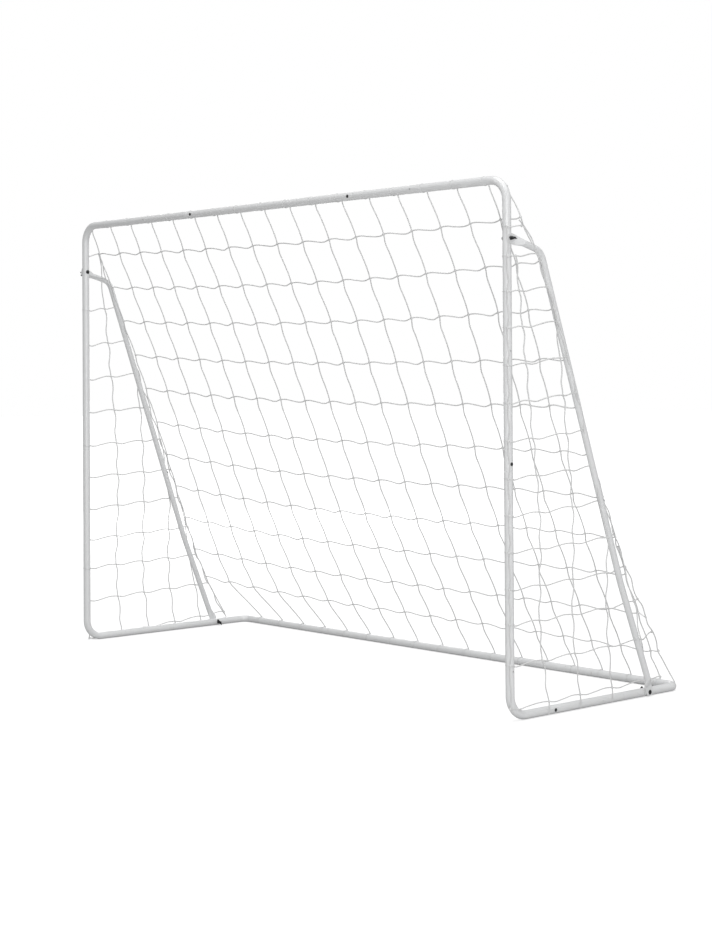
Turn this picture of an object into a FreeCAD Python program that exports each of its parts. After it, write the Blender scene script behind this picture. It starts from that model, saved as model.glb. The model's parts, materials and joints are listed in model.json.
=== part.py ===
import FreeCAD, Part

import math
import os

from FreeCAD import Rotation, Vector

# A take-down goal frame of bent steel tube with a net.
# +X is to the right when looking into the goal, +Y is back from the goal line, +Z is up.
# The origin is on the ground, midway between the posts, under the crossbar. Millimetres.

# ---- Overall size ----
GOAL_WIDTH = 2130.0  # over the outsides of the posts
GOAL_HEIGHT = 1520.0  # ground to the top of the crossbar
GOAL_DEPTH = 760.0  # front of the posts to the back of the rear ground bar

# ---- Frame tube ----
TUBE_DIAMETER = 25.0
TUBE_WALL = 1.0
BEND_RADIUS = 60.0  # to the tube's centreline
REAR_BEND_RADIUS = 32.0  # the tighter bend at each rear corner

# ---- Where the tubes are jointed: the places of the joint screws ----
CROSSBAR_JOINT_X = 400.0
REAR_JOINT_X = 400.0
POST_JOINT_Z = 714.0
BASE_JOINT_Y = 174.0

# ---- Slip joints: a reduced end slides into the next tube ----
SLIP_CLEARANCE = 0.15  # on the radius
SPIGOT_LENGTH = 45.0  # the part of the reduced end that is inside the next tube
SHOULDER_LENGTH = 4.0  # where the tube tapers down to the reduced end
SHOULDER_GAP = 0.5  # between the outer tube's mouth and the shoulder
MOUTH_TO_SCREW = 20.0

# ---- Joint screws and the threaded inserts that they turn into ----
SCREW_DIAMETER = 5.0
SCREW_LENGTH = 9.0  # under the head
SCREW_HEAD_DIAMETER = 10.0
SCREW_HEAD_HEIGHT = 3.2
SCREW_HEAD_RIM = 0.8  # straight edge under the dome
RECESS_WIDTH = 1.2  # cross recess in the head
RECESS_SPAN = 5.0
RECESS_DEPTH = 1.4
INSERT_DIAMETER = 9.0
INSERT_HEIGHT = 4.5

# ---- Small vent holes ----
VENT_DIAMETER = 4.0
CROSSBAR_VENT_X = 675.0
POST_VENT_Z = (140.0, 1028.0)
BASE_VENT_Y = 381.0

# ---- Braces: a thinner tube with flattened ends, on the outside of the frame ----
BRACE_DIAMETER = 19.0
BRACE_WALL = 1.0
BRACE_BEND_RADIUS = 48.0
BRACE_STANDOFF = 8.0  # post's outer side to the brace's centreline
BRACE_BOLT_DROP = 166.0  # crossbar centreline down to the upper bolt
ELBOW_REACH = 116.0  # upper bolt back to the elbow
ELBOW_DROP = 32.0  # upper bolt down to the elbow
FOOT_SETBACK = 145.0  # rear bar's centreline forward to the lower bolt
BRACE_JOINT_Z = 592.0
BRACE_BOW = 16.0  # how far the brace stands forward of straight at its slight lower bend
BRACE_BOW_Z = 350.0
BRACE_BOW_RADIUS = 300.0
FLAT_SLOT = 0.2  # left between the two walls where the end is pressed flat
FLAT_LENGTH = 20.0  # bolt centre to the start of the flare
FLARE_LENGTH = 26.0  # flat to round
FLAT_GROUND_CLEARANCE = 2.5  # the flattened end stops this far above the tube's underside

# ---- Carriage bolts, washers and wing nuts ----
BOLT_DIAMETER = 6.0
BOLT_LENGTH = 45.0  # under the head
BOLT_HEAD_DIAMETER = 14.0
BOLT_HEAD_HEIGHT = 3.6
BOLT_HEAD_RIM = 0.6
NECK_LENGTH = 3.2  # square neck under the head
THREAD_LENGTH = 22.0
THREAD_PITCH = 1.0
THREAD_DEPTH = 0.5
HOLE_CLEARANCE = 0.3  # on the radius, bolt in hole
WASHER_DIAMETER = 13.0
WASHER_THICKNESS = 1.2
SEAT_CLEARANCE = 0.05  # a flat face that bears on a round tube
NUT_CLEARANCE = 0.05  # on the radius, nut on thread
NUT_BASE_DIAMETER = 11.0
NUT_TOP_DIAMETER = 9.0
NUT_HEIGHT = 8.0
WING_SPAN = 28.0
WING_THICKNESS = 2.4
WING_FOOT = 1.5  # wing's root above the nut's seat
WING_HEIGHT = 12.0  # tip of the wing above the nut's seat
WING_TIP_RADIUS = 2.2
UPPER_NUT_ANGLES = {"left": 12.0, "right": 84.0}  # wings from vertical
LOWER_NUT_ANGLES = {"left": 42.0, "right": 38.0}

# ---- Net panels, one each for the back and the two sides ----
NET_THICKNESS = 0.6
NET_CLEARANCE = 0.3
SIDE_NET_FRONT_GAP = 10.0  # behind the posts
SIDE_NET_GROUND_GAP = 6.0  # over the ground bars

# ---- Derived ----
TUBE_RADIUS = TUBE_DIAMETER / 2
BRACE_RADIUS = BRACE_DIAMETER / 2
POST_X = GOAL_WIDTH / 2 - TUBE_RADIUS
CROSSBAR_Z = GOAL_HEIGHT - TUBE_RADIUS
GROUND_BAR_Z = TUBE_RADIUS
REAR_BAR_Y = GOAL_DEPTH - TUBE_DIAMETER
SPIGOT_RADIUS = TUBE_RADIUS - TUBE_WALL - SLIP_CLEARANCE
BRACE_SPIGOT_RADIUS = BRACE_RADIUS - BRACE_WALL - SLIP_CLEARANCE
POST_OUTSIDE_X = POST_X + TUBE_RADIUS
POST_INSIDE_X = POST_X - TUBE_RADIUS
FLAT_THICKNESS = 2 * BRACE_WALL + FLAT_SLOT
FLAT_WIDTH = math.pi * (BRACE_DIAMETER - BRACE_WALL) / 2 + BRACE_WALL
FLAT_TIP = TUBE_RADIUS - FLAT_GROUND_CLEARANCE
BRACE_X = POST_OUTSIDE_X + BRACE_STANDOFF
FLAT_OUTSIDE_X = POST_OUTSIDE_X + FLAT_THICKNESS
UPPER_BOLT_Z = CROSSBAR_Z - BRACE_BOLT_DROP
LOWER_BOLT_Y = REAR_BAR_Y - FOOT_SETBACK
BOLT_HOLE_RADIUS = BOLT_DIAMETER / 2 + HOLE_CLEARANCE
SCREW_HOLE_DIAMETER = SCREW_DIAMETER + 2 * HOLE_CLEARANCE

X = Vector(1, 0, 0)
Y = Vector(0, 1, 0)
Z = Vector(0, 0, 1)


def unit(v):
    return Vector(v).normalize()


def hollow_run(start, end, radius, wall):
    """A straight length of tube."""
    along = end - start
    outer = Part.makeCylinder(radius, along.Length, start, along)
    inner = Part.makeCylinder(radius - wall, along.Length, start, along)
    return outer.cut(inner)


def hollow_taper(start, end, first_radius, last_radius, wall):
    """A short cone of tube wall."""
    along = end - start
    outer = Part.makeCone(first_radius, last_radius, along.Length, start, along)
    inner = Part.makeCone(first_radius - wall, last_radius - wall, along.Length, start, along)
    return outer.cut(inner)


def joined(shapes):
    """Several touching solids as one clean solid."""
    whole = shapes[0].fuse(shapes[1:]).removeSplitter()
    return whole.Solids[0] if len(whole.Solids) == 1 else whole


def bent_tube(points, bend_radius, radius, wall):
    """A tube along straight lines with an arc of bend_radius at each corner."""
    pieces = []
    start = points[0]
    for before, corner, after in zip(points, points[1:], points[2:]):
        way_in = unit(corner - before)
        way_out = unit(after - corner)
        turn = way_in.getAngle(way_out)
        reach = bend_radius * math.tan(turn / 2)
        bend_start = corner - way_in * reach
        bend_axis = way_in.cross(way_out).normalize()
        centre = bend_start + bend_axis.cross(way_in) * bend_radius
        outer = Part.Face(Part.Wire(Part.makeCircle(radius, bend_start, way_in)))
        inner = Part.Face(Part.Wire(Part.makeCircle(radius - wall, bend_start, way_in)))
        sweep = math.degrees(turn)
        bend = outer.revolve(centre, bend_axis, sweep).cut(inner.revolve(centre, bend_axis, sweep))
        pieces += [hollow_run(start, bend_start, radius, wall), bend]
        start = corner + way_out * reach
    pieces.append(hollow_run(start, points[-1], radius, wall))
    return pieces


def spigot(mouth, along, radius, spigot_radius, wall):
    """A reduced end that starts at a shoulder just before the next tube's mouth.

    The full-size tube has to stop at shoulder_start(mouth, along).
    """
    shoulder = shoulder_start(mouth, along)
    neck = shoulder + along * SHOULDER_LENGTH
    tip = mouth + along * SPIGOT_LENGTH
    taper = hollow_taper(shoulder, neck, radius, spigot_radius, wall)
    return [taper, hollow_run(neck, tip, spigot_radius, wall)]


def shoulder_start(mouth, along):
    return mouth - along * (SHOULDER_GAP + SHOULDER_LENGTH)


def side_hole(shape, centre, outward, diameter, tube_radius):
    """A hole through one wall of a tube, from its centreline outwards."""
    return shape.cut(Part.makeCylinder(diameter / 2, 2 * tube_radius, centre, outward))


def bolt_hole(shape, head_seat, along):
    """A hole right through for a carriage bolt, square where its neck sits."""
    start = head_seat - along * TUBE_DIAMETER
    shape = shape.cut(Part.makeCylinder(BOLT_HOLE_RADIUS, 4 * TUBE_DIAMETER, start, along))
    side = BOLT_DIAMETER + 2 * HOLE_CLEARANCE
    length = NECK_LENGTH + 2 * HOLE_CLEARANCE
    square = Part.makeBox(side, side, length, Vector(-side / 2, -side / 2, -HOLE_CLEARANCE))
    return shape.cut(placed(square, head_seat, along))


def placed(shape, point, direction, turn=0.0):
    """A shape drawn up +Z from the origin, turned about +Z, then pointed along direction."""
    copy = shape.copy()
    copy.rotate(Vector(), Z, turn)
    aim = FreeCAD.Placement(point, Rotation(Z, direction))
    return moved(copy, aim)


def moved(shape, placement):
    shape.Placement = placement.multiply(shape.Placement)
    return shape


def mirrored(shape):
    return shape.mirror(Vector(), X)


def both_sides(right_shape):
    """One group of the right piece and its mirror image on the left."""
    return Part.makeCompound([mirrored(right_shape), right_shape])


def turned(outline):
    """A solid of revolution about Z from edges in the XZ plane."""
    return Part.Face(Part.Wire(outline)).revolve(Vector(), Z, 360)


def dome_outline(radius, rim, height):
    """The edges of a dome head's half section, from the rim's foot up to the top."""
    low = Vector(radius, 0, rim)
    top = Vector(0, 0, height)
    # The dome is part of a sphere, so its half-way point is worked out from that sphere.
    sphere = (radius**2 + (height - rim) ** 2) / (2 * (height - rim))
    half = math.asin(radius / sphere) / 2
    middle = Vector(sphere * math.sin(half), 0, height - sphere * (1 - math.cos(half)))
    side = Part.makeLine(Vector(radius, 0, 0), low)
    return [side, Part.Arc(low, middle, top).toShape()]


# ---- Fasteners, each drawn up +Z with its seat at the origin ----


def joint_screw():
    outline = dome_outline(SCREW_HEAD_DIAMETER / 2, SCREW_HEAD_RIM, SCREW_HEAD_HEIGHT)
    corners = [
        Vector(0, 0, SCREW_HEAD_HEIGHT),
        Vector(0, 0, -SCREW_LENGTH),
        Vector(SCREW_DIAMETER / 2, 0, -SCREW_LENGTH),
        Vector(SCREW_DIAMETER / 2, 0, 0),
        Vector(SCREW_HEAD_DIAMETER / 2, 0, 0),
    ]
    outline += [Part.makeLine(a, b) for a, b in zip(corners, corners[1:])]
    screw = turned(Part.__sortEdges__(outline))
    floor = SCREW_HEAD_HEIGHT - RECESS_DEPTH
    for span_x, span_y in ((RECESS_SPAN, RECESS_WIDTH), (RECESS_WIDTH, RECESS_SPAN)):
        corner = Vector(-span_x / 2, -span_y / 2, floor)
        screw = screw.cut(Part.makeBox(span_x, span_y, 2 * RECESS_DEPTH, corner))
    return screw


def carriage_bolt():
    radius = BOLT_DIAMETER / 2
    root = radius - THREAD_DEPTH
    outline = dome_outline(BOLT_HEAD_DIAMETER / 2, BOLT_HEAD_RIM, BOLT_HEAD_HEIGHT)
    corners = [
        Vector(BOLT_HEAD_DIAMETER / 2, 0, 0),
        Vector(radius, 0, 0),
        Vector(radius, 0, THREAD_LENGTH - BOLT_LENGTH),
    ]
    z = THREAD_LENGTH - BOLT_LENGTH
    while z - THREAD_PITCH > -BOLT_LENGTH:
        corners.append(Vector(root, 0, z - THREAD_PITCH / 2))
        corners.append(Vector(radius, 0, z - THREAD_PITCH))
        z -= THREAD_PITCH
    corners.append(Vector(root, 0, -BOLT_LENGTH))
    corners.append(Vector(0, 0, -BOLT_LENGTH))
    corners.append(Vector(0, 0, BOLT_HEAD_HEIGHT))
    outline += [Part.makeLine(a, b) for a, b in zip(corners, corners[1:])]
    bolt = turned(Part.__sortEdges__(outline))
    side = BOLT_DIAMETER
    neck = Part.makeBox(side, side, NECK_LENGTH, Vector(-side / 2, -side / 2, -NECK_LENGTH))
    return joined([bolt, neck])


def washer():
    ring = Part.makeCylinder(WASHER_DIAMETER / 2, WASHER_THICKNESS)
    return ring.cut(Part.makeCylinder(BOLT_HOLE_RADIUS, WASHER_THICKNESS))


def wing_nut():
    body = Part.makeCone(NUT_BASE_DIAMETER / 2, NUT_TOP_DIAMETER / 2, NUT_HEIGHT)
    tip = WING_SPAN / 2
    root = NUT_TOP_DIAMETER / 4
    neck = NUT_BASE_DIAMETER / 2 + WING_THICKNESS
    corners = [
        Vector(root, 0, WING_FOOT),
        Vector(neck, 0, WING_FOOT),
        Vector(tip, 0, WING_HEIGHT / 2),
        Vector(tip, 0, WING_HEIGHT),
        Vector(neck, 0, WING_HEIGHT),
        Vector(root, 0, NUT_HEIGHT - WING_FOOT),
    ]
    plate = Part.Face(Part.makePolygon(corners + corners[:1]))
    plate.translate(Vector(0, -WING_THICKNESS / 2, 0))
    wing = plate.extrude(Vector(0, WING_THICKNESS, 0))
    rounded = [
        edge
        for edge in wing.Edges
        if abs(edge.tangentAt(edge.FirstParameter).y) > 0.99 and edge.CenterOfMass.x > root + 1
    ]
    wing = wing.makeFillet(WING_TIP_RADIUS, rounded)
    other = wing.copy()
    other.rotate(Vector(), Z, 180)
    nut = joined([body, wing, other])
    bore = Part.makeCylinder(BOLT_DIAMETER / 2 + NUT_CLEARANCE, 3 * NUT_HEIGHT, Vector(0, 0, -NUT_HEIGHT))
    return nut.cut(bore)


def joint_insert(spigot_inner_radius):
    """A threaded insert against the inside of a reduced end; its bore is along +Z.

    The tube runs along Y through the origin and the insert is on its +Z side.
    """
    foot = Vector(0, 0, spigot_inner_radius - INSERT_HEIGHT)
    blank = Part.makeCylinder(INSERT_DIAMETER / 2, 2 * INSERT_HEIGHT, foot)
    length = 2 * INSERT_DIAMETER
    bed_radius = spigot_inner_radius - SEAT_CLEARANCE
    bed = Part.makeCylinder(bed_radius, length, Vector(0, -length / 2, 0), Y)
    bore = Part.makeCylinder(SCREW_DIAMETER / 2 + SEAT_CLEARANCE, 3 * INSERT_HEIGHT, foot)
    return blank.common(bed).cut(bore)


def aligned(shape, point, outward, tube_way):
    """A shape drawn with +Z outwards and +Y along its tube, put in place."""
    side = tube_way.cross(outward)
    frame = FreeCAD.Placement(point, Rotation(side, tube_way, outward))
    return moved(shape.copy(), frame)


# ---- Frame tubes, drawn for the right-hand side ----


def screwed_spigot(pieces, mouth, along, outward):
    """Add a reduced end with its screw hole to the pieces of a frame tube."""
    end = spigot(mouth, along, TUBE_RADIUS, SPIGOT_RADIUS, TUBE_WALL)
    tube = joined(pieces + end)
    screw_at = mouth + along * MOUTH_TO_SCREW
    return side_hole(tube, screw_at, outward, SCREW_HOLE_DIAMETER, TUBE_RADIUS)


def cross_centre_tube(joint_x, y, z, outward):
    """The middle length of the crossbar or rear bar, open at both ends."""
    mouth_x = joint_x + MOUTH_TO_SCREW
    tube = hollow_run(Vector(-mouth_x, y, z), Vector(mouth_x, y, z), TUBE_RADIUS, TUBE_WALL)
    for sign in (-1, 1):
        screw_at = Vector(sign * joint_x, y, z)
        tube = side_hole(tube, screw_at, outward, SCREW_HOLE_DIAMETER, TUBE_RADIUS)
    return tube


def top_corner_tube():
    """Outer part of the crossbar, the top bend and the upper part of the post."""
    mouth = Vector(CROSSBAR_JOINT_X + MOUTH_TO_SCREW, 0, CROSSBAR_Z)
    post_mouth = Vector(POST_X, 0, POST_JOINT_Z - MOUTH_TO_SCREW)
    route = [shoulder_start(mouth, -X), Vector(POST_X, 0, CROSSBAR_Z), post_mouth]
    pieces = bent_tube(route, BEND_RADIUS, TUBE_RADIUS, TUBE_WALL)
    tube = screwed_spigot(pieces, mouth, -X, -Y)
    tube = side_hole(tube, Vector(POST_X, 0, POST_JOINT_Z), X, SCREW_HOLE_DIAMETER, TUBE_RADIUS)
    tube = side_hole(tube, Vector(CROSSBAR_VENT_X, 0, CROSSBAR_Z), -Y, VENT_DIAMETER, TUBE_RADIUS)
    tube = side_hole(tube, Vector(POST_X, 0, POST_VENT_Z[1]), X, VENT_DIAMETER, TUBE_RADIUS)
    return bolt_hole(tube, Vector(POST_INSIDE_X, 0, UPPER_BOLT_Z), X)


def bottom_corner_tube():
    """Lower part of the post, the front bend and the front of the side ground bar."""
    mouth = Vector(POST_X, 0, POST_JOINT_Z - MOUTH_TO_SCREW)
    base_mouth = Vector(POST_X, BASE_JOINT_Y + MOUTH_TO_SCREW, GROUND_BAR_Z)
    route = [shoulder_start(mouth, Z), Vector(POST_X, 0, GROUND_BAR_Z), base_mouth]
    pieces = bent_tube(route, BEND_RADIUS, TUBE_RADIUS, TUBE_WALL)
    tube = screwed_spigot(pieces, mouth, Z, X)
    screw_at = Vector(POST_X, BASE_JOINT_Y, GROUND_BAR_Z)
    tube = side_hole(tube, screw_at, X, SCREW_HOLE_DIAMETER, TUBE_RADIUS)
    return side_hole(tube, Vector(POST_X, 0, POST_VENT_Z[0]), X, VENT_DIAMETER, TUBE_RADIUS)


def rear_corner_tube():
    """Back of the side ground bar, the rear bend and the outer part of the rear bar."""
    base_mouth = Vector(POST_X, BASE_JOINT_Y + MOUTH_TO_SCREW, GROUND_BAR_Z)
    mouth = Vector(REAR_JOINT_X + MOUTH_TO_SCREW, REAR_BAR_Y, GROUND_BAR_Z)
    corner = Vector(POST_X, REAR_BAR_Y, GROUND_BAR_Z)
    route = [shoulder_start(base_mouth, -Y), corner, shoulder_start(mouth, -X)]
    pieces = bent_tube(route, REAR_BEND_RADIUS, TUBE_RADIUS, TUBE_WALL)
    pieces += spigot(base_mouth, -Y, TUBE_RADIUS, SPIGOT_RADIUS, TUBE_WALL)
    tube = screwed_spigot(pieces, mouth, -X, Y)
    screw_at = Vector(POST_X, BASE_JOINT_Y, GROUND_BAR_Z)
    tube = side_hole(tube, screw_at, X, SCREW_HOLE_DIAMETER, TUBE_RADIUS)
    tube = side_hole(tube, Vector(POST_X, BASE_VENT_Y, GROUND_BAR_Z), X, VENT_DIAMETER, TUBE_RADIUS)
    return bolt_hole(tube, Vector(FLAT_OUTSIDE_X, LOWER_BOLT_Y, GROUND_BAR_Z), -X)


# ---- Braces, drawn for the right-hand side ----

UPPER_BOLT = Vector(BRACE_X, 0, UPPER_BOLT_Z)
ELBOW = Vector(BRACE_X, ELBOW_REACH, UPPER_BOLT_Z - ELBOW_DROP)
LOWER_BOLT = Vector(BRACE_X, LOWER_BOLT_Y, GROUND_BAR_Z)
ARM_WAY = unit(ELBOW - UPPER_BOLT)
BOW_SHARE = (ELBOW.z - BRACE_BOW_Z) / (ELBOW.z - LOWER_BOLT.z)
BOW = ELBOW + (LOWER_BOLT - ELBOW) * BOW_SHARE - Y * BRACE_BOW
LEG_WAY = unit(BOW - ELBOW)  # down the leg to the slight bend
FOOT_WAY = unit(LOWER_BOLT - BOW)  # down from the slight bend to the foot
LEG_FRONT = X.cross(LEG_WAY)  # square to the leg, towards the front
BRACE_SCREW_AT = ELBOW + LEG_WAY * ((ELBOW.z - BRACE_JOINT_Z) / -LEG_WAY.z)
BRACE_MOUTH = BRACE_SCREW_AT + LEG_WAY * MOUTH_TO_SCREW


def section(half_width, half_thickness, centre_x, at, way, corner_angle):
    """A closed outline across the brace: two broad sides joined by two rounded edges.

    half_thickness equal to half_width gives a circle. corner_angle is where, from the
    wide direction, the rounded edges end.
    """
    across = way.cross(X)

    def arc(middle_angle, spread, shift):
        ends = []
        for angle in (middle_angle - spread, middle_angle, middle_angle + spread):
            sideways = across * (shift + half_thickness * math.cos(angle))
            outward = X * (centre_x - at.x + half_thickness * math.sin(angle))
            ends.append(at + sideways + outward)
        return Part.Arc(*ends).toShape()

    shift = half_width - half_thickness
    edges = [arc(0, corner_angle, shift), arc(math.pi, corner_angle, -shift)]
    first, second = edges
    if shift > 0:
        edges.insert(1, Part.makeLine(first.Vertexes[-1].Point, second.Vertexes[0].Point))
        edges.append(Part.makeLine(second.Vertexes[-1].Point, first.Vertexes[0].Point))
    else:
        edges.insert(1, arc(math.pi / 2, math.pi / 2 - corner_angle, 0))
        edges.append(arc(3 * math.pi / 2, math.pi / 2 - corner_angle, 0))
    return Part.Wire(edges)


def flattened_end(bolt_centre, way):
    """The pressed-flat end of a brace and its flare out to round, along way."""
    flat_centre_x = POST_OUTSIDE_X + FLAT_THICKNESS / 2
    flare_start = bolt_centre + way * FLAT_LENGTH
    flare_end = flare_start + way * FLARE_LENGTH
    corner = math.pi / 4

    def flare(grow):
        half_width = FLAT_WIDTH / 2 - grow
        half_thickness = FLAT_THICKNESS / 2 - grow
        radius = BRACE_RADIUS - grow
        flat = section(half_width, half_thickness, flat_centre_x, flare_start, way, math.pi / 2)
        round_end = section(radius, radius, BRACE_X, flare_end, way, corner)
        return Part.makeLoft([flat, round_end], True, True)

    shell = flare(0).cut(flare(BRACE_WALL))
    # The flat plate, with a rounded tip just past the bolt.
    across = way.cross(X)
    base = Vector(POST_OUTSIDE_X, bolt_centre.y, bolt_centre.z)
    half = FLAT_WIDTH / 2
    side_shift = half - FLAT_TIP
    mid_side = side_shift + FLAT_TIP * math.cos(corner)
    mid_drop = FLAT_TIP * math.sin(corner)
    corners = [
        base + way * FLAT_LENGTH + across * half,
        base + across * half,
        base + across * mid_side - way * mid_drop,
        base + across * side_shift - way * FLAT_TIP,
        base - across * side_shift - way * FLAT_TIP,
        base - across * mid_side - way * mid_drop,
        base - across * half,
        base + way * FLAT_LENGTH - across * half,
    ]
    edges = [
        Part.makeLine(corners[0], corners[1]),
        Part.Arc(corners[1], corners[2], corners[3]).toShape(),
        Part.makeLine(corners[3], corners[4]),
        Part.Arc(corners[4], corners[5], corners[6]).toShape(),
        Part.makeLine(corners[6], corners[7]),
        Part.makeLine(corners[7], corners[0]),
    ]
    plate = Part.Face(Part.Wire(edges)).extrude(X * FLAT_THICKNESS)
    return [plate, shell], flare_end


def brace_screw_hole(tube):
    return side_hole(tube, BRACE_SCREW_AT, LEG_FRONT, SCREW_HOLE_DIAMETER, BRACE_RADIUS)


def upper_brace_tube():
    end, round_start = flattened_end(UPPER_BOLT, ARM_WAY)
    route = [round_start, ELBOW, BRACE_MOUTH]
    tube = joined(end + bent_tube(route, BRACE_BEND_RADIUS, BRACE_RADIUS, BRACE_WALL))
    tube = bolt_hole(tube, Vector(POST_INSIDE_X, 0, UPPER_BOLT_Z), X)
    return brace_screw_hole(tube)


def lower_brace_tube():
    end, round_start = flattened_end(LOWER_BOLT, -FOOT_WAY)
    route = [round_start, BOW, shoulder_start(BRACE_MOUTH, -LEG_WAY)]
    full = bent_tube(route, BRACE_BOW_RADIUS, BRACE_RADIUS, BRACE_WALL)
    top = spigot(BRACE_MOUTH, -LEG_WAY, BRACE_RADIUS, BRACE_SPIGOT_RADIUS, BRACE_WALL)
    tube = joined(end + full + top)
    tube = bolt_hole(tube, Vector(FLAT_OUTSIDE_X, LOWER_BOLT_Y, GROUND_BAR_Z), -X)
    return brace_screw_hole(tube)


# ---- Net panels ----

SLOPE_WAY = unit(Vector(0, REAR_BAR_Y, GROUND_BAR_Z - CROSSBAR_Z))
SLOPE_OUT = X.cross(SLOPE_WAY)  # square to the slope, up and back


def back_net():
    """A thin panel that lies behind the crossbar and the rear ground bar."""
    lift = TUBE_RADIUS + NET_CLEARANCE
    top = Vector(-POST_X, 0, CROSSBAR_Z) + SLOPE_OUT * lift
    foot = Vector(-POST_X, REAR_BAR_Y, GROUND_BAR_Z) + SLOPE_OUT * lift
    across = X * (2 * POST_X)
    outline = Part.makePolygon([top, top + across, foot + across, foot, top])
    return Part.Face(outline).extrude(SLOPE_OUT * NET_THICKNESS)


def side_net():
    """A thin three-cornered panel outside the brace."""
    x = BRACE_X + BRACE_RADIUS + NET_CLEARANCE
    front = TUBE_RADIUS + SIDE_NET_FRONT_GAP
    low = TUBE_DIAMETER + SIDE_NET_GROUND_GAP
    edge = Vector(x, 0, CROSSBAR_Z) + SLOPE_OUT * TUBE_RADIUS
    top = edge + SLOPE_WAY * ((front - edge.y) / SLOPE_WAY.y)
    foot = edge + SLOPE_WAY * ((low - edge.z) / SLOPE_WAY.z)
    corner = Vector(x, front, low)
    outline = Part.makePolygon([corner, foot, top, corner])
    return Part.Face(outline).extrude(X * NET_THICKNESS)


# ---- Fasteners in place ----


def screw_and_insert(at, outward, tube_way, tube_radius, wall):
    """A joint screw through two tube walls, and the insert that holds it."""
    seat = at + outward * (tube_radius + SEAT_CLEARANCE)
    inner_radius = tube_radius - 2 * wall - SLIP_CLEARANCE
    insert = aligned(joint_insert(inner_radius), at, outward, tube_way)
    return placed(joint_screw(), seat, outward), insert


def bolt_set(head_seat, along, grip, nut_angle):
    """A carriage bolt, its washer and its wing nut, clamping a stack grip thick."""
    bolt = placed(carriage_bolt(), head_seat, along * -1)
    washer_seat = head_seat + along * grip
    nut_seat = washer_seat + along * WASHER_THICKNESS
    return bolt, placed(washer(), washer_seat, along), placed(wing_nut(), nut_seat, along, nut_angle)


JOINTS = {
    "crossbar": (Vector(CROSSBAR_JOINT_X, 0, CROSSBAR_Z), -Y, X, TUBE_RADIUS, TUBE_WALL),
    "rear_bar": (Vector(REAR_JOINT_X, REAR_BAR_Y, GROUND_BAR_Z), Y, X, TUBE_RADIUS, TUBE_WALL),
    "post": (Vector(POST_X, 0, POST_JOINT_Z), X, Z, TUBE_RADIUS, TUBE_WALL),
    "side_bar": (Vector(POST_X, BASE_JOINT_Y, GROUND_BAR_Z), X, Y, TUBE_RADIUS, TUBE_WALL),
    "brace": (BRACE_SCREW_AT, LEG_FRONT, LEG_WAY, BRACE_RADIUS, BRACE_WALL),
}


def build():
    nodes = {
        "crossbar_centre_tube": cross_centre_tube(CROSSBAR_JOINT_X, 0, CROSSBAR_Z, -Y),
        "rear_bar_centre_tube": cross_centre_tube(REAR_JOINT_X, REAR_BAR_Y, GROUND_BAR_Z, Y),
        "net_back": back_net(),
    }
    right_hand = {
        "top_corner_tube": top_corner_tube(),
        "bottom_corner_tube": bottom_corner_tube(),
        "rear_corner_tube": rear_corner_tube(),
        "upper_brace_tube": upper_brace_tube(),
        "lower_brace_tube": lower_brace_tube(),
        "net_side": side_net(),
    }
    for name, shape in right_hand.items():
        nodes["right_" + name] = shape
        nodes["left_" + name] = mirrored(shape)
    for name, place in JOINTS.items():
        screw, insert = screw_and_insert(*place)
        nodes[name + "_joint_screws"] = both_sides(screw)
        nodes[name + "_joint_inserts"] = both_sides(insert)
    stack = TUBE_DIAMETER + FLAT_THICKNESS + SEAT_CLEARANCE
    for side, sign in (("left", -1), ("right", 1)):
        outward = X * sign
        upper_head = Vector(sign * (POST_INSIDE_X - SEAT_CLEARANCE), 0, UPPER_BOLT_Z)
        lower_head = Vector(sign * FLAT_OUTSIDE_X, LOWER_BOLT_Y, GROUND_BAR_Z)
        sets = {
            "upper": bolt_set(upper_head, outward, stack, UPPER_NUT_ANGLES[side]),
            "lower": bolt_set(lower_head, outward * -1, stack, LOWER_NUT_ANGLES[side]),
        }
        for level, (bolt, flat_washer, nut) in sets.items():
            nodes[f"{side}_{level}_bolt"] = bolt
            nodes[f"{side}_{level}_washer"] = flat_washer
            nodes[f"{side}_{level}_wing_nut"] = nut
    return nodes


os.makedirs("parts", exist_ok=True)
for node_name, node_shape in build().items():
    node_shape.exportStep(f"parts/{node_name}.step")
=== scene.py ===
"""Soccer goal frame: white powder coated steel tube, black fasteners and a knotted twine net."""

import json
import math
import random

import bmesh
import bpy
from mathutils import Matrix, Quaternion, Vector

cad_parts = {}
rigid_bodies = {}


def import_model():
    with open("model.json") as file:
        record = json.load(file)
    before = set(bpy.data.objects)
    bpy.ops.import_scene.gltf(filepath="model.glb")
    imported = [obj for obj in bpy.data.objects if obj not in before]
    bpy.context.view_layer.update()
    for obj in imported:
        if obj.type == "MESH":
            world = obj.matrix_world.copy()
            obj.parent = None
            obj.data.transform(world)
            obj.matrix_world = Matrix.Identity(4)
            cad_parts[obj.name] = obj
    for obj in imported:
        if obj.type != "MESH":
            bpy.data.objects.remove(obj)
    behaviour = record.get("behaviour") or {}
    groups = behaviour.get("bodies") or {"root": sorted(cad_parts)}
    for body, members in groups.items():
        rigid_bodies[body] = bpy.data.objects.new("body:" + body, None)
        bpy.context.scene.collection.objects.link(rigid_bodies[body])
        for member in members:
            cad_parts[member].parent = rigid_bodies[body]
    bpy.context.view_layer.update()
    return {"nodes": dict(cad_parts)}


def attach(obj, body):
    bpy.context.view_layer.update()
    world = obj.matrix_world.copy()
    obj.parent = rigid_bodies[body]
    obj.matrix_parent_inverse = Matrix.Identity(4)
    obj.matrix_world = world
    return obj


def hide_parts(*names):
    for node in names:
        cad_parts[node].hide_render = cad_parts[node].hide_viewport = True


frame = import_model()
nodes = frame["nodes"]

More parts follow.
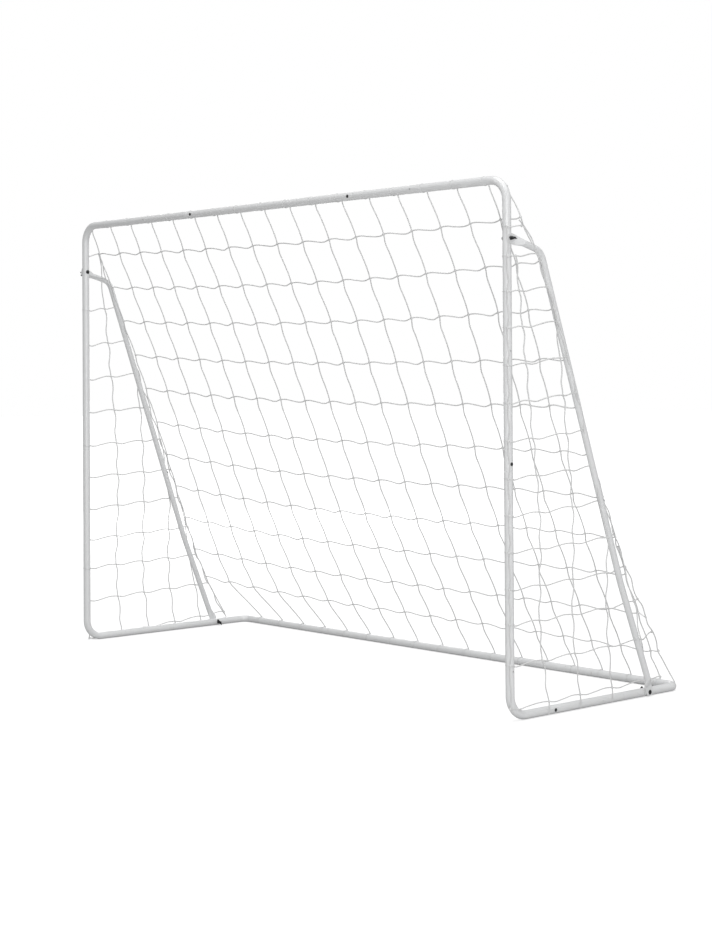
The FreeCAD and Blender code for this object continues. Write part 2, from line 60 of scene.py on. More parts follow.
MM = 0.001
SIDES = {"left": -1.0, "right": 1.0}
TUBE_RADIUS = 12.5 * MM
POST_X = 1052.5 * MM
CROSSBAR_Z = 1507.5 * MM
BAR_Z = 12.5 * MM
REAR_BAR_Y = 735 * MM
GROUND_CLEAR = 1.8 * MM  # between the ground and the twine under a ground bar

# ------------------------------------------------------------------ shader maths


class Wire:
    """A shader socket that takes part in plain expressions."""

    def __init__(self, tree, socket):
        self.tree = tree
        self.socket = socket

    def node(self, kind, settings=None, sockets=None, out=0):
        """Adds a node, sets it up, then fills its sockets with values or wires."""
        made = self.tree.nodes.new(kind)
        for key, value in (settings or {}).items():
            setattr(made, key, value)
        for key, value in (sockets or {}).items():
            if isinstance(value, Wire):
                self.tree.links.new(value.socket, made.inputs[key])
            else:
                made.inputs[key].default_value = value
        return Wire(self.tree, made.outputs[out])

    def math(self, operation, first, second=0.0, clamp=False):
        settings = {"operation": operation, "use_clamp": clamp}
        return self.node("ShaderNodeMath", settings, {0: first, 1: second})

    def __add__(self, other):
        return self.math("ADD", self, other)

    def __radd__(self, other):
        return self.math("ADD", other, self)

    def __sub__(self, other):
        return self.math("SUBTRACT", self, other)

    def __rsub__(self, other):
        return self.math("SUBTRACT", other, self)

    def __mul__(self, other):
        return self.math("MULTIPLY", self, other)

    def __rmul__(self, other):
        return self.math("MULTIPLY", other, self)

    def limited(self):
        """The same value kept between 0 and 1."""
        return self.math("ADD", self, 0.0, clamp=True)

    def between(self, low, high):
        """0 below low, 1 above high, smooth from one to the other."""
        settings = {"interpolation_type": "SMOOTHSTEP"}
        sockets = {"Value": self, "From Min": low, "From Max": high}
        return self.node("ShaderNodeMapRange", settings, sockets)

    def noise(self, place, scale, detail=3.0, roughness=0.5):
        sockets = {"Vector": place, "Scale": scale, "Detail": detail, "Roughness": roughness}
        return self.node("ShaderNodeTexNoise", None, sockets)

    def mix(self, first, second):
        """first where this value is 0, second where it is 1."""
        sockets = {0: self, 6: first, 7: second}
        return self.node("ShaderNodeMix", {"data_type": "RGBA"}, sockets, out=2)

    def bump(self, distance, strength):
        sockets = {"Strength": strength, "Distance": distance, "Height": self}
        return self.node("ShaderNodeBump", None, sockets)


def finish_called(name, **fixed):
    """A new material with its principled shader; fixed socket values go in by name."""
    material = bpy.data.materials.new(name)
    material.use_nodes = True
    tree = material.node_tree
    shader = tree.nodes["Principled BSDF"]
    for key, value in fixed.items():
        shader.inputs[key.replace("_", " ")].default_value = value
    return material, shader, Wire(tree, None)


def feed(shader, start, **wires):
    """Joins wires to the shader's sockets by name."""
    for key, wire in wires.items():
        start.tree.links.new(wire.socket, shader.inputs[key.replace("_", " ")])


def powder_coat():
    """White polyester powder coat on steel: faint orange peel and a few soft rubs near the ground."""
    material, shader, start = finish_called("white_powder_coat", Coat_Roughness=0.22)
    place = start.node("ShaderNodeTexCoord", out=3)
    height = start.node("ShaderNodeSeparateXYZ", None, {0: place}, out=2)
    tone = start.noise(place, 9.0, 4.0, 0.55)
    peel = start.noise(place, 420.0, 2.0, 0.5)
    pits = start.noise(place, 1500.0, 1.0, 0.4)
    streak_place = start.node("ShaderNodeMapping", None, {0: place, 3: (60.0, 60.0, 8.0)})
    streaks = start.noise(streak_place, 1.6, 5.0, 0.62)
    near_ground = 1.0 - height.between(0.004, 0.09)
    rubs = (streaks.between(0.60, 0.74) * near_ground * 0.5).limited()
    clean = tone.mix((0.77, 0.778, 0.784, 1.0), (0.815, 0.82, 0.824, 1.0))
    feed(
        shader,
        start,
        Base_Color=rubs.mix(clean, (0.56, 0.55, 0.53, 1.0)),
        Roughness=0.30 + tone * 0.10 + rubs * 0.25,
        Coat_Weight=0.35 - rubs * 0.3,
        Normal=(peel + pits * 0.25).bump(0.00003, 0.4),
    )
    return material


def black_steel():
    """Black oxide steel: nearly black, oily sheen, a little bare metal on rubbed spots."""
    material, shader, start = finish_called("black_oxide_steel", Coat_Roughness=0.3)
    place = start.node("ShaderNodeTexCoord", out=3)
    cloud = start.noise(place, 180.0, 4.0, 0.6)
    grain = start.noise(place, 2600.0, 2.0, 0.5)
    worn = cloud.between(0.64, 0.76) * 0.55
    dark = cloud.mix((0.012, 0.012, 0.013, 1.0), (0.030, 0.030, 0.032, 1.0))
    feed(
        shader,
        start,
        Base_Color=worn.mix(dark, (0.17, 0.165, 0.16, 1.0)),
        Metallic=0.55 + worn * 0.45,
        Roughness=0.24 + cloud * 0.2 + grain * 0.06,
        Coat_Weight=0.25 - worn * 0.25,
        Normal=(grain * 0.6 + cloud).bump(0.00012, 0.5),
    )
    return material


def zinc_plate():
    """Bright zinc plated steel with fine turning marks and a cloudy passivation."""
    material, shader, start = finish_called("zinc_plated_steel", Coat_Roughness=0.2)
    place = start.node("ShaderNodeTexCoord", out=3)
    cloud = start.noise(place, 120.0, 3.0, 0.5)
    turned = start.node("ShaderNodeMapping", None, {0: place, 3: (4000.0, 300.0, 300.0)})
    lines = start.noise(turned, 1.0, 2.0, 0.5)
    feed(
        shader,
        start,
        Base_Color=cloud.mix((0.55, 0.56, 0.58, 1.0), (0.70, 0.70, 0.68, 1.0)),
        Metallic=0.95 - cloud * 0.05,
        Roughness=0.22 + lines * 0.18 + cloud * 0.08,
        Coat_Weight=cloud * 0.1,
        Normal=lines.bump(0.00004, 0.5),
    )
    return material


def net_twine():
    """White twisted polyethylene twine: fine filaments, a soft sheen and slightly dusty strands."""
    fixed = {"Sheen_Weight": 0.25, "Sheen_Roughness": 0.5, "Coat_Roughness": 0.4}
    material, shader, start = finish_called("white_net_twine", **fixed)
    place = start.node("ShaderNodeTexCoord", out=3)
    cloud = start.noise(place, 14.0, 3.0, 0.5)
    lay = start.noise(place, 900.0, 2.0, 0.6)
    filament = start.noise(place, 3600.0, 2.0, 0.5)
    shade = (cloud * 0.5 + lay * 0.5).limited()
    feed(
        shader,
        start,
        Base_Color=shade.mix((0.66, 0.665, 0.67, 1.0), (0.82, 0.82, 0.815, 1.0)),
        Roughness=0.42 + lay * 0.22,
        Coat_Weight=filament * 0.12,
        Normal=(lay + filament * 0.6).bump(0.00006, 0.4),
    )
    return material


def pale_floor():
    """Seamless pale studio floor with a hardly seen mottle."""
    material, shader, start = finish_called("pale_studio_floor")
    place = start.node("ShaderNodeTexCoord", out=3)
    mottle = start.noise(place, 3.0, 4.0, 0.55)
    reach = start.node("ShaderNodeVectorMath", {"operation": "LENGTH"}, {0: place}, out=1)
    away = reach.between(1.5, 9.0)
    feed(
        shader,
        start,
        Base_Color=mottle.mix((0.50, 0.50, 0.50, 1.0), (0.53, 0.53, 0.53, 1.0)),
        Roughness=0.72 + mottle * 0.08,
        Emission_Color=away.mix((0.62, 0.62, 0.62, 1.0), (0.90, 0.90, 0.90, 1.0)),
    )
    shader.inputs["Emission Strength"].default_value = 1.0
    # Only the camera sees the bright floor: it lights the undersides of the tubes as mid grey.
    sight = start.node("ShaderNodeLightPath")
    grey = start.node("ShaderNodeBsdfDiffuse", None, {"Color": (0.55, 0.55, 0.55, 1.0)})
    bright = Wire(start.tree, shader.outputs[0])
    mixed = start.node("ShaderNodeMixShader", None, {0: sight, 1: grey, 2: bright})
    surface = start.tree.nodes["Material Output"].inputs["Surface"]
    start.tree.links.new(mixed.socket, surface)
    return material


COAT = powder_coat()
BLACK = black_steel()
ZINC = zinc_plate()
TWINE = net_twine()

for node_name, node in nodes.items():
    if node_name.endswith("_tube"):
        chosen = COAT
    elif node_name.endswith(("_inserts", "_washer")):
        chosen = ZINC
    elif "net" in node_name:
        chosen = TWINE
    else:
        chosen = BLACK
    if not node.material_slots:
        node.data.materials.append(chosen)
    for held in node.material_slots:
        held.material = chosen

# ------------------------------------------------------------------ net twine

TWINE_RADIUS = 2.0 * MM
LACING_RADIUS = 0.8 * MM  # the thin cord that ties the net to the tubes
TWINE_LAY = 21 * MM  # one turn of the twist
LAID_ON = TUBE_RADIUS + TWINE_RADIUS  # centre of a twine lying on a 25 mm tube
LACED_ON = TUBE_RADIUS + LACING_RADIUS * 0.95  # centre of the cord, pulled on to a tube
SECTION_POINTS = 9  # corners of a twine's cross section
STRAND_RELIEF = 0.08  # how far the three strands stand out, as a share of the radius
SLOPE_LENGTH = math.hypot(REAR_BAR_Y, CROSSBAR_Z - BAR_Z)
DOWN_SLOPE = Vector((0, REAR_BAR_Y, BAR_Z - CROSSBAR_Z)) / SLOPE_LENGTH
OUT_OF_SLOPE = Vector((0, -DOWN_SLOPE.z, DOWN_SLOPE.y))
CROSSBAR_CENTRE = Vector((0, 0, CROSSBAR_Z))
ACROSS = Vector((1, 0, 0))
chance = random.Random(7)


def read_off(table, at):
    """Value of a table of (place, value) pairs at a place, straight between its entries."""
    for (a, low), (b, high) in zip(table, table[1:]):
        if at <= b:
            return low + (high - low) * max(0.0, at - a) / (b - a)
    return table[-1][1]


# How far the back net hangs inside the flat slope, in mm, against mm down the slope.
MIDDLE_SAG = (
    (0, 4), (136, 12), (420, 7), (700, 18), (1000, 30),
    (1140, 31), (1400, 18), (1534, 9), (1666, 0),
)
LEFT_SAG = (
    (0, 2), (200, 8), (514, 22), (784, 42), (921, 54),
    (1061, 68), (1200, 81), (1334, 96), (1468, 95), (1666, 80),
)
RIGHT_SAG = (
    (0, 6), (60, 30), (131, 40), (187, 20), (400, 28), (500, 34), (600, 46), (766, 66),
    (900, 70), (992, 66), (1150, 62), (1300, 48), (1400, 30), (1500, 14), (1666, 4),
)
# Where the ninth upright hangs and how far apart the uprights are, in mm, against mm down.
MIDDLE_UPRIGHT = ((0, -10), (134, -26), (707, -53), (1269, -78), (1538, -88), (1666, -91))
UPRIGHT_PITCH = ((0, 125.5), (134, 127.9), (707, 126), (1269, 124.8), (1538, 123.6), (1666, 124))
# How far the rows rise towards each side, in mm at 1 m from their lowest part, against mm down.
LOWEST_X = 200  # where the rows hang lowest, in mm from the middle
LEFT_LIFT = ((0, 8), (1666, 70))
RIGHT_LIFT = ((0, 35), (418, 33), (564, 24), (1131, 17), (1269, 22), (1409, 10), (1538, -20))
ROWS_DOWN = (134, 275, 418, 564, 707, 852, 993, 1131, 1269, 1409, 1538)
UPRIGHTS = range(18)
NINTH = 8  # uprights are counted from 0
LAST = 17
GATHERED_FROM = 12  # the uprights right of this one draw together towards the rear bar
GATHER = 8.7  # mm less between each of those at the rear bar
GATHER_STARTS = 1131  # mm down the slope, and how far from there to the rear bar
GATHER_LENGTH = 535
EDGE_X = 1078  # where the laced edges lie, in mm from the middle
TOP_X = -1039  # where the uprights meet the crossbar, in mm, and how far apart
TOP_PITCH = 125.5
FOOT_PITCH = 124
NINTH_FOOT_X = -91
LAST_FOOT_X = 981
RIGHT_CORNER_X = 1036
CROSSBAR_TURN = (26, 386)  # where a tie starts and ends round its tube, in degrees
REAR_BAR_TURN = (-48, 228)
POST_TURN = (-45, 315)
TIE_LEAN = 2.6  # mm along the tube, either way, in one turn
POST_TIE_LEAN = 1.8

# Bends of a twine between two knots: (share of the way, mm to one side).
ROW_WAVE = ((0.2, -1.6), (0.45, 2.6), (0.75, 7.5), (0.9, 3.6))
UPRIGHT_WAVE = ((0.23, -5.4), (0.4, -3.0), (0.6, 0.2), (0.8, 1.6))
SIDE_ROW_WAVE = ((0.2, 4.6), (0.45, 1.2), (0.75, -2.6), (0.9, -1.6))
SIDE_UPRIGHT_WAVE = ((0.2, 5.2), (0.42, 2.2), (0.65, -3.6), (0.85, -1.6))


def slope_place(x, down, sag):
    """A place on the back net, mm in and metres out."""
    plane = CROSSBAR_CENTRE + DOWN_SLOPE * (down * MM) + OUT_OF_SLOPE * (LAID_ON - sag * MM)
    return plane + ACROSS * (x * MM)


def sag_at(x, down):
    """How far inside the flat slope the back net hangs at a place, in mm."""
    middle = read_off(MIDDLE_SAG, down)
    if x < 0:
        return middle + (read_off(LEFT_SAG, down) - middle) * min(1, -x / EDGE_X) ** 1.3
    return middle + (read_off(RIGHT_SAG, down) - middle) * min(1, x / EDGE_X) ** 3


def back_knot(row, upright):
    """Where a row of the back net is knotted to an upright."""
    level = ROWS_DOWN[row]
    x = read_off(MIDDLE_UPRIGHT, level) + (upright - NINTH) * read_off(UPRIGHT_PITCH, level)
    x = max(-EDGE_X, min(EDGE_X + 2, x))
    lift = LEFT_LIFT if x < LOWEST_X else RIGHT_LIFT
    down = level - read_off(lift, level) * ((x - LOWEST_X) / 1000) ** 2
    gather = max(0.0, upright - GATHERED_FROM) * GATHER
    gather = gather * max(0.0, level - GATHER_STARTS) / GATHER_LENGTH
    return slope_place(x - gather, down, sag_at(x, down))


def edge_place(side, down):
    """A place on the sloping edge where the back net is laced to a side net."""
    if side < 0:
        x = -min(EDGE_X, 1046 + 32 * down / 420)
        return slope_place(x, down, read_off(LEFT_SAG, down))
    x = read_off(MIDDLE_UPRIGHT, down) + (LAST - NINTH) * read_off(UPRIGHT_PITCH, down)
    x = min(EDGE_X + 2, x, 1050 + 28 * down / 160)
    return slope_place(x, down, read_off(RIGHT_SAG, down))


def waved(knots, aside, wave):
    """Points of one twine through its knots, with the same bends in every cell."""
    points = [knots[0]]
    for a, b in zip(knots, knots[1:]):
        size = min(1.0, (b - a).length / (110 * MM))
        for share, offset in wave:
            bend = offset * size * chance.uniform(0.75, 1.2) * MM
            points.append(a.lerp(b, share) + aside * bend)
        points.append(b)
    return points


def twine_mesh(name, runs, radius=TWINE_RADIUS, fineness=8):
    """Three strand twisted twine swept along every run of points, as one mesh."""
    section = bpy.data.curves.new("section", "CURVE")
    section.dimensions = "2D"
    outline = section.splines.new("POLY")
    outline.points.add(SECTION_POINTS - 1)
    outline.use_cyclic_u = True
    for i, point in enumerate(outline.points):
        turn = math.tau * i / SECTION_POINTS
        reach = radius * (1 + STRAND_RELIEF * math.cos(3 * turn))
        point.co = (reach * math.cos(turn), reach * math.sin(turn), 0, 1)
    section_object = bpy.data.objects.new("section", section)
    path = bpy.data.curves.new(name, "CURVE")
    path.dimensions = "3D"
    path.resolution_u = fineness
    path.bevel_mode = "OBJECT"
    path.bevel_object = section_object
    path.use_fill_caps = True
    for run in runs:
        line = path.splines.new("BEZIER")
        line.bezier_points.add(len(run) - 1)
        line.tilt_interpolation = "LINEAR"
        gone = 0.0
        before = run[0]
        for point, here in zip(line.bezier_points, run):
            gone += (here - before).length
            before = here
            point.co = here
            point.handle_left_type = point.handle_right_type = "AUTO"
            point.tilt = math.tau * gone / (TWINE_LAY * radius / TWINE_RADIUS)
    path_object = bpy.data.objects.new(name, path)
    collection = bpy.context.scene.collection.objects
    collection.link(section_object)
    collection.link(path_object)
    graph = bpy.context.evaluated_depsgraph_get()
    mesh = bpy.data.meshes.new_from_object(path_object.evaluated_get(graph))
    bpy.data.objects.remove(path_object)
    bpy.data.objects.remove(section_object)
    bpy.data.curves.remove(path)
    bpy.data.curves.remove(section)
    return placed_piece(name, mesh, TWINE)


def placed_piece(name, mesh, material, body="frame"):
    """Puts a finished mesh in the scene as a piece that rides on a body."""
    mesh.name = name
    mesh.materials.clear()
    mesh.materials.append(material)
    for face in mesh.polygons:
        face.use_smooth = True
    piece = bpy.data.objects.new(name, mesh)
    bpy.context.scene.collection.objects.link(piece)
    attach(piece, body)
    return piece


# Half of a knot's outline: mm out from its middle line, mm along it.
KNOT_OUTLINE = (
    (0.9, -4.3), (2.5, -3.4), (3.1, -1.9), (2.6, -0.5), (3.3, 1.1), (2.8, 2.8), (0.9, 4.1),
)
KNOT_SIDES = 7
KNOT_LEAN = 0.25  # the most that a knot leans, in radians


def knots_mesh(name, places):
    """A small pulled knot, two humps turned about its length, at every place given."""
    mesh_kit = bmesh.new()
    for at, along in places:
        ring = []
        for reach, up in KNOT_OUTLINE:
            ring.append(mesh_kit.verts.new((reach * MM, 0, up * MM)))
        edges = [mesh_kit.edges.new(pair) for pair in zip(ring, ring[1:])]
        bmesh.ops.spin(
            mesh_kit,
            geom=ring + edges,
            cent=(0, 0, 0),
            axis=(0, 0, 1),
            angle=math.tau,
            steps=KNOT_SIDES,
            use_merge=True,
        )
        fresh = [v for v in mesh_kit.verts if not v.tag]
        for v in fresh:
            v.tag = True
        turn = Vector((0, 0, 1)).rotation_difference(along)
        spin = Quaternion((0, 0, 1), chance.uniform(0, math.tau))
        lean = Quaternion((1, 0, 0), chance.uniform(-KNOT_LEAN, KNOT_LEAN))
        place = Matrix.Translation(at) @ (turn @ lean @ spin).to_matrix().to_4x4()
        bmesh.ops.transform(mesh_kit, matrix=place, verts=fresh)
    holes = [e for e in mesh_kit.edges if e.is_boundary]
    bmesh.ops.holes_fill(mesh_kit, edges=holes, sides=0)
    bmesh.ops.recalc_face_normals(mesh_kit, faces=mesh_kit.faces)
    mesh = bpy.data.meshes.new(name)
    mesh_kit.to_mesh(mesh)
    mesh_kit.free()
    return placed_piece(name, mesh, TWINE)


LEVEL_TUBE = (Vector((0, 1, 0)), Vector((0, 0, 1)))  # the plane square to a level tube
UPRIGHT_TUBE = (Vector((1, 0, 0)), Vector((0, 1, 0)))
WRAP_STEPS = 12


def wrap(centre, turn, lean, ways=LEVEL_TUBE):
    """A turn of lacing cord round a tube, from one angle to the other in degrees."""
    start, finish = turn
    along = ways[0].cross(ways[1])
    points = []
    for i in range(WRAP_STEPS + 1):
        share = i / WRAP_STEPS
        angle = math.radians(start + (finish - start) * share)
        offset = ways[0] * math.cos(angle) + ways[1] * math.sin(angle)
        points.append(centre + offset * LACED_ON + along * ((share - 0.5) * 2 * lean * MM))
    return points


# Back net: uprights from crossbar to rear bar, rows from edge to edge.
back_knots = [[back_knot(row, upright) for upright in UPRIGHTS] for row in range(len(ROWS_DOWN))]
upright_runs = []
crossbar_wraps = []
rear_wraps = []
for upright in UPRIGHTS:
    x_top = (TOP_X + TOP_PITCH * upright) * MM
    gathered = max(0, upright - GATHERED_FROM) * GATHER
    x_foot = (NINTH_FOOT_X + (upright - NINTH) * FOOT_PITCH - gathered) * MM
    hung = [row[upright] for row in back_knots]
    if upright == LAST:
        start = Vector((POST_X - 8 * MM, LAID_ON * 0.8, CROSSBAR_Z - 16 * MM))
        foot = Vector((LAST_FOOT_X * MM, REAR_BAR_Y, BAR_Z)) + OUT_OF_SLOPE * LAID_ON
    elif upright == 0:
        start = Vector((-1030 * MM, 0, 1494 * MM)) + OUT_OF_SLOPE * LAID_ON
        foot = Vector((-POST_X - LAID_ON, 655 * MM, BAR_Z + 2 * MM))
    else:
        start = CROSSBAR_CENTRE + OUT_OF_SLOPE * LAID_ON + ACROSS * x_top
        foot = Vector((x_foot, REAR_BAR_Y, BAR_Z)) + OUT_OF_SLOPE * LAID_ON
    upright_runs.append(waved([start] + hung + [foot], ACROSS, UPRIGHT_WAVE))
    if 0 < upright < LAST:
        crossbar_wraps.append(wrap(start - OUT_OF_SLOPE * LAID_ON, CROSSBAR_TURN, TIE_LEAN))
    if upright > 0:
        rear_wraps.append(wrap(foot - OUT_OF_SLOPE * LAID_ON, REAR_BAR_TURN, TIE_LEAN))
# The two lowest rows run on past the last upright to the laced edge.
for row in (9, 10):
    back_knots[row].append(edge_place(1.0, ROWS_DOWN[row] + 8))
row_runs = [waved(knots, DOWN_SLOPE, ROW_WAVE) for knots in back_knots]

back_uprights = twine_mesh("net_back_uprights", upright_runs)
twine_mesh("net_back_rows", row_runs)
twine_mesh("net_crossbar_ties", crossbar_wraps, LACING_RADIUS, 3)
twine_mesh("net_rear_bar_ties", rear_wraps, LACING_RADIUS, 3)
knot_places = []
for knots in back_knots:
    for at in knots:
        way = (ACROSS * chance.uniform(0.5, 0.9) + DOWN_SLOPE).normalized()
        knot_places.append((at, way))
for run in upright_runs[:LAST]:
    knot_places.append((run[0] + OUT_OF_SLOPE * MM, ACROSS))
knots_mesh("net_back_knots", knot_places)
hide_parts("net_back")

# Side nets: heights in mm of each row at the post and its rise to the rear,
# and where the first upright hangs behind the post, in mm, against its height.
SIDE_ROWS = {
    "left": (
        (3, 0.066), (143, 0.03), (262, 0.022), (365, 0.036), (477, 0.045), (593, 0.03),
        (709, 0.033), (830, 0.045), (950, 0.08), (1075, 0.085), (1202, 0.085),
        (1335, -0.2), (1400, 0.18),
    ),
    "right": (
        (38, 0.024), (156, 0.04), (270, 0.034), (366, 0.05), (469, 0.047), (570, 0.06), (673, 0.07),
        (777, 0.08), (883, 0.1), (988, 0.11), (1092, 0.11), (1193, 0.11), (1291, 0.1), (1373, 0.1),
    ),
}
FIRST_UPRIGHT = {
    "left": (
        (0, 166), (147, 148), (265, 141), (370, 145), (483, 151),
        (598, 151), (714, 147), (836, 138), (1330, 87),
    ),
    "right": (
        (0, 150), (160, 113), (273, 102), (371, 105), (474, 107),
        (576, 104), (679, 93), (889, 66), (1292, 18),
    ),
}
# How far apart the side uprights are, and how fast that grows towards the rear, in mm.
SIDE_PITCH = {"left": (121.5, 0.0), "right": (133.0, 4.0)}
BRACE_OUTSIDE = 1082.5 * MM
ELBOW = Vector((0, 116 * MM, 1309.5 * MM))
BRACE_BEND = Vector((0, 450.7 * MM, 350 * MM))
BRACE_FOOT = Vector((0, 590 * MM, 12.5 * MM))
TOP_BOLT = 1341.5 * MM
SLOPE_MM = 1666.0  # the length of the slope
RUN_BACK = 0.4918  # how far back the slope goes for each metre down
TOP_OF_EDGE = 116.0  # mm down the slope, at the first row
LACE_STEP = 34.0
LACED_TO = 1640.0
TIED_ON_THE_LEFT = (2, 6, 10)  # rows, counted from 0 at the ground


def skin_x(side, y, z, edge):
    """How far out the side net lies: on the post, over the brace, then in to the laced edge."""
    on_post = POST_X + LAID_ON
    over = BRACE_OUTSIDE + TWINE_RADIUS + 0.3 * MM
    if z > TOP_BOLT + 12 * MM:
        return side * (on_post + (abs(edge.x) - on_post) * min(1, max(0, y / max(edge.y, MM))))
    if z > ELBOW.z:
        brace_y = 30 * MM
    else:
        above, below = (ELBOW, BRACE_BEND) if z > BRACE_BEND.z else (BRACE_BEND, BRACE_FOOT)
        brace_y = above.lerp(below, (above.z - z) / (above.z - below.z)).y
    if y < brace_y:
        return side * (on_post + (over - on_post) * min(1, max(0, y / brace_y)))
    if edge.y > brace_y:
        return side * (over + (abs(edge.x) - over) * min(1, (y - brace_y) / (edge.y - brace_y)))
    return side * over


def edge_at_height(side, height):
    """Where the laced edge is at a height above the ground."""
    low, high = 0.0, SLOPE_MM
    for _ in range(30):
        middle = (low + high) / 2
        if edge_place(side, middle).z > height:
            low = middle
        else:
            high = middle
    return edge_place(side, low)


def side_net(name, side):
    """The knots and the runs of twine of one side net, and its knots along the post."""
    first = FIRST_UPRIGHT[name]
    pitch, growth = SIDE_PITCH[name]
    rows = SIDE_ROWS[name]
    post = Vector((side * POST_X, 0, 0))
    if name == "right":
        hold = Vector((side * 0.70, -0.71, 0)) * LAID_ON
    else:
        hold = Vector((side * 0.42, 0.90, 0)) * LAID_ON
    knots, uprights, row_lines, cord_knots = [], {}, [], []
    for count, (height, rise) in enumerate(rows):
        begin = post + hold + Vector((0, 0, max(height, 7) * MM))
        line = [begin]
        end = edge_at_height(side, height * MM)
        for _ in range(4):
            end = edge_at_height(side, height * MM + rise * end.y)
        if count == 0:
            end = Vector((side * (POST_X + LAID_ON), 640 * MM, (height + rise * 640) * MM))
        for number in range(1, 6):
            steps = number - 1
            level = height * MM
            for _ in range(3):
                y = (read_off(first, level / MM) + pitch * steps + growth * steps * (steps - 1)) * MM
                level = height * MM + rise * y
            if y > end.y - 24 * MM or (level > TOP_BOLT - 20 * MM and y < 30 * MM):
                continue
            if level < 60 * MM and count == 0:
                x = side * (POST_X + LAID_ON + max(0.0, level - BAR_Z) * 0.1)
            else:
                x = skin_x(side, y, level, end)
            at = Vector((x, y, level))
            line.append(at)
            uprights.setdefault(number, []).append(at)
            knots.append((at, Vector((0, 0.6, -1)).normalized()))
        line.append(end)
        cord_knots.append(begin)
        knots.append((begin, Vector((0, 0.2, 1)).normalized()))
        knots.append((end, Vector((0, 0.5, -0.8)).normalized()))
        row_lines.append(line)
    runs = [waved(line, Vector((0, 0, -1)), SIDE_ROW_WAVE) for line in row_lines]
    for number, hung in uprights.items():
        hung = sorted(hung, key=lambda at: at.z)
        foot = hung[0]
        on_bar = Vector((side * (POST_X + LAID_ON), foot.y + 5 * MM, BAR_Z))
        under_x = side * (POST_X + LAID_ON * 0.70)
        under = Vector((under_x, foot.y + 7 * MM, TWINE_RADIUS + GROUND_CLEAR))
        if number == 1:
            top = edge_place(side, TOP_OF_EDGE)
        else:
            top = edge_at_height(side, CROSSBAR_Z - (hung[-1].y - 8 * MM) / RUN_BACK)
        if number == 1 and name == "right":
            path = list(reversed(hung))
        else:
            path = [top] + list(reversed(hung))
        points = waved(path, Vector((0, 1, 0)), SIDE_UPRIGHT_WAVE)
        if foot.z > BAR_Z:
            points.append(on_bar)
        points.append(under)
        runs.append(points)
    return knots, runs, cord_knots


for side_name, side in SIDES.items():
    knots, runs, cord_knots = side_net(side_name, side)
    # The front edge of the side net wanders along the post from knot to knot.
    cord = [cord_knots[0]]
    for a, b in zip(cord_knots, cord_knots[1:]):
        swing = Vector((side * 0.7, 0.7, 0)) if side > 0 else Vector((-side * 0.55, 0.8, 0))
        cord.append(a.lerp(b, 0.3) + swing * 2.6 * MM)
        cord.append(a.lerp(b, 0.7) - swing * 0.2 * MM)
        cord.append(b)
    runs.append(cord)
    # The side net's own edge twine, laced beside the back net's last upright.
    lacing = []
    step = 0
    down = TOP_OF_EDGE
    while down < LACED_TO:
        at = edge_place(side, down)
        weave = math.sin(step * 1.9) * 4.5 * MM
        lacing.append(at + OUT_OF_SLOPE * weave + Vector((side * 1.5 * MM, 0, 0)))
        down += LACE_STEP
        step += 1
    if side > 0:
        corner = Vector((RIGHT_CORNER_X * MM, REAR_BAR_Y, BAR_Z))
        lacing.append(corner + OUT_OF_SLOPE * LAID_ON)
    runs.append(lacing)
    strings = twine_mesh(side_name + "_net_strings", runs)
    knots_mesh(side_name + "_net_knots", knots)
    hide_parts(side_name + "_net_side")
    wraps = []
    for count, at in enumerate(cord_knots):
        if side > 0 or count in TIED_ON_THE_LEFT:
            centre = Vector((side * POST_X, 0, at.z))
            if centre.z > 40 * MM:
                wraps.append(wrap(centre, POST_TURN, POST_TIE_LEAN, UPRIGHT_TUBE))
    twine_mesh(side_name + "_net_post_ties", wraps, LACING_RADIUS, 3)

# ------------------------------------------------------------------ room, light and camera

floor_kit = bmesh.new()
bmesh.ops.create_grid(floor_kit, x_segments=4, y_segments=4, size=30.0)
floor_mesh = bpy.data.meshes.new("studio_floor")
floor_kit.to_mesh(floor_mesh)
floor_kit.free()
floor_mesh.materials.append(pale_floor())
floor = bpy.data.objects.new("studio_floor", floor_mesh)
floor.location.z = -0.2 * MM
bpy.context.scene.collection.objects.link(floor)

ROOM_LIGHT = 0.40

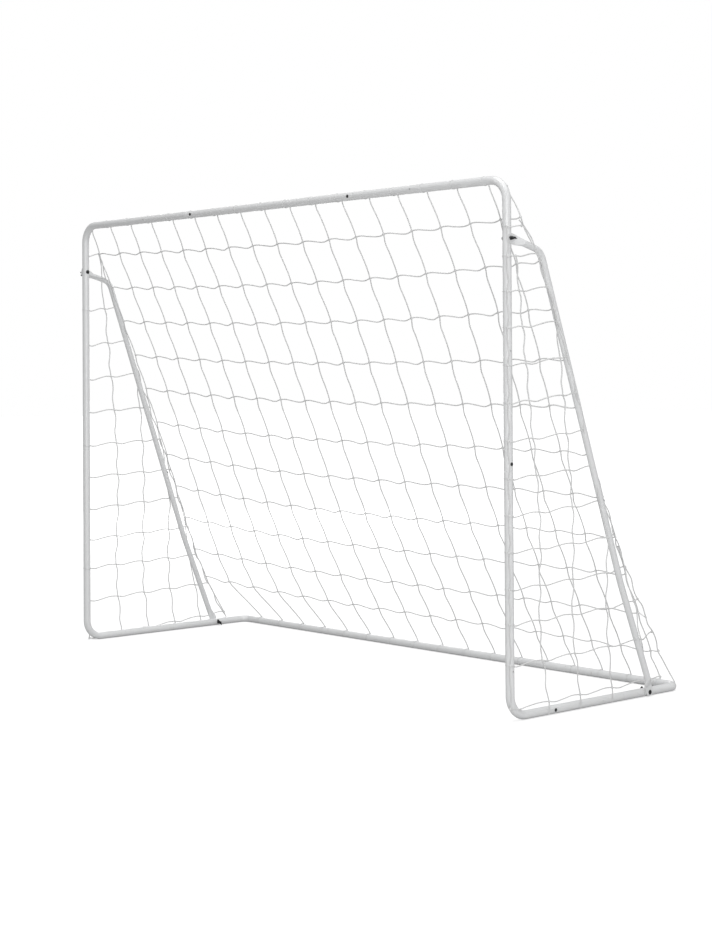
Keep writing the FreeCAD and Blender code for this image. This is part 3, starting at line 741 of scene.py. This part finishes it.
world = bpy.data.worlds.new("studio_world")
bpy.context.scene.world = world
world.use_nodes = True
sky = world.node_tree.nodes["Background"]
sky.inputs["Color"].default_value = (1.0, 1.0, 1.0, 1.0)
sky.inputs["Strength"].default_value = ROOM_LIGHT
backdrop = world.node_tree.nodes.new("ShaderNodeBackground")
backdrop.inputs["Color"].default_value = (1.0, 1.0, 1.0, 1.0)
seen = world.node_tree.nodes.new("ShaderNodeLightPath")
choose = world.node_tree.nodes.new("ShaderNodeMixShader")
world.node_tree.links.new(seen.outputs["Is Camera Ray"], choose.inputs[0])
world.node_tree.links.new(sky.outputs[0], choose.inputs[1])
world.node_tree.links.new(backdrop.outputs[0], choose.inputs[2])
world.node_tree.links.new(choose.outputs[0], world.node_tree.nodes["World Output"].inputs[0])


def soft_light(name, place, target, size, power):
    """A large square light that faces a target."""
    lamp = bpy.data.lights.new(name, "AREA")
    lamp.shape = "SQUARE"
    lamp.size = size
    lamp.energy = power
    holder = bpy.data.objects.new(name, lamp)
    holder.location = place
    holder.rotation_mode = "QUATERNION"
    aim = Vector(target) - Vector(place)
    holder.rotation_quaternion = aim.to_track_quat("-Z", "Y")
    holder.visible_camera = False
    bpy.context.scene.collection.objects.link(holder)


soft_light("overhead_light", (1.0, 0.0, 6.0), (0.3, 0.3, 0.0), 5.0, 190)
soft_light("key_light", (5.2, -3.4, 1.3), (0.3, 0.2, 0.7), 2.4, 130)
soft_light("back_light", (-5.4, 4.2, 2.0), (0.0, 0.4, 0.7), 3.0, 75)

CAMERA_PLACE = (4.525, -3.681, 0.975)
CAMERA_TURN = math.radians(48.42)
CAMERA_RISE = math.radians(-0.82)
CAMERA_ROLL = math.radians(-0.34)
backward = Vector(
    (
        math.sin(CAMERA_TURN) * math.cos(CAMERA_RISE),
        -math.cos(CAMERA_TURN) * math.cos(CAMERA_RISE),
        math.sin(CAMERA_RISE),
    )
)
rightward = (-backward).cross(Vector((0, 0, 1))).normalized()
upward = rightward.cross(-backward)
tilted_right = rightward * math.cos(CAMERA_ROLL) + upward * math.sin(CAMERA_ROLL)
tilted_up = upward * math.cos(CAMERA_ROLL) - rightward * math.sin(CAMERA_ROLL)
lens = bpy.data.cameras.new("studio_camera")
lens.sensor_width = 36.0
lens.lens = 68.74
lens.shift_x = 0.0105
lens.shift_y = -0.1368
lens.dof.use_dof = False
lens.clip_start = 0.05
lens.clip_end = 200.0
camera = bpy.data.objects.new("studio_camera", lens)
camera.rotation_mode = "QUATERNION"
axes = Matrix((tilted_right, tilted_up, backward)).transposed()
camera.rotation_quaternion = axes.to_quaternion()
camera.location = CAMERA_PLACE
bpy.context.scene.collection.objects.link(camera)
bpy.context.scene.camera = camera
bpy.context.scene.view_settings.view_transform = "Standard"
